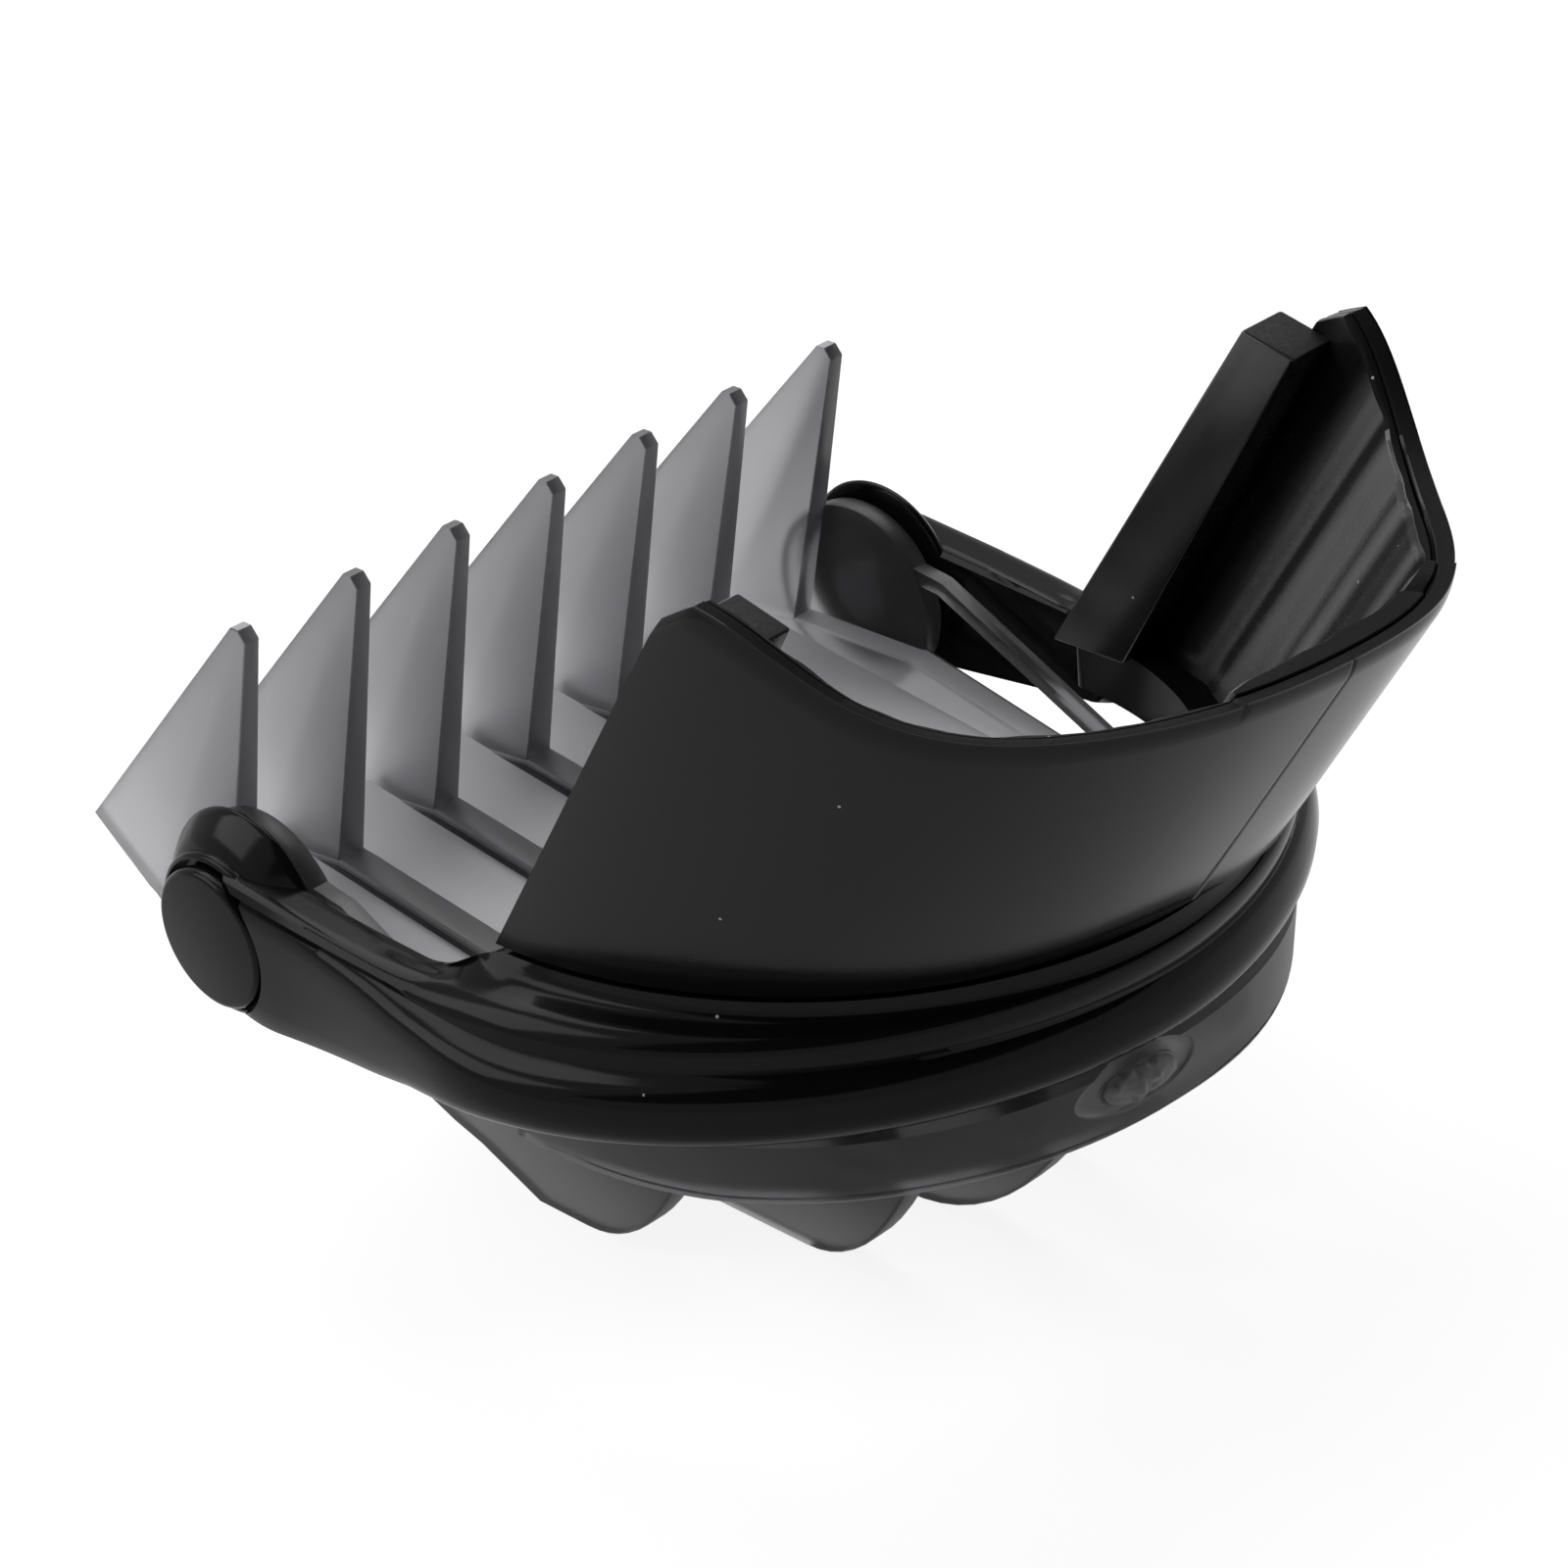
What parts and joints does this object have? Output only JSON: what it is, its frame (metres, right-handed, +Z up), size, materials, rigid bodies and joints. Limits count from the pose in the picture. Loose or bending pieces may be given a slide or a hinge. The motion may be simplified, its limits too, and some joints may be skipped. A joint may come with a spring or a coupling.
{
  "type": "clipper guard comb",
  "caption": "Clip-on clipper guard comb: a half-round slide sleeve leans back from a collar, and a smoky toothed comb swings under it on two pivot pins.",
  "frame": {"origin": "middle of the part's footprint, at the flat undersides of the long teeth that it stands on", "axes": "+Z up, square to the collar's seat; +Y from the tooth tips to the back of the sleeve; +X across the teeth, to the right seen from the tooth tips"},
  "size_m": [0.0538, 0.0662, 0.0458],
  "materials": {
    "black_plastic": "moulded black plastic, glossy with a soft sheen",
    "smoky_plastic": "smoky see-through moulded plastic",
    "pin_steel": "plain steel pin"
  },
  "bodies": {
    "carrier": {"sleeve_shell": "black_plastic", "slide_liner": "black_plastic", "guide_rail_left": "black_plastic", "guide_rail_right": "black_plastic", "collar_frame": "black_plastic", "pivot_pin_left": "pin_steel", "pivot_pin_right": "pin_steel", "pivot_cap_left": "black_plastic", "pivot_cap_right": "black_plastic"},
    "comb": {"comb": "smoky_plastic"}
  },
  "joints": [
    {"name": "comb_tilt", "type": "hinge", "parent": "carrier", "child": "comb", "pos_m": [0, -0.01861, 0.0188], "axis": [-1, 0, 0], "range_deg": [0, 10]}
  ]
}
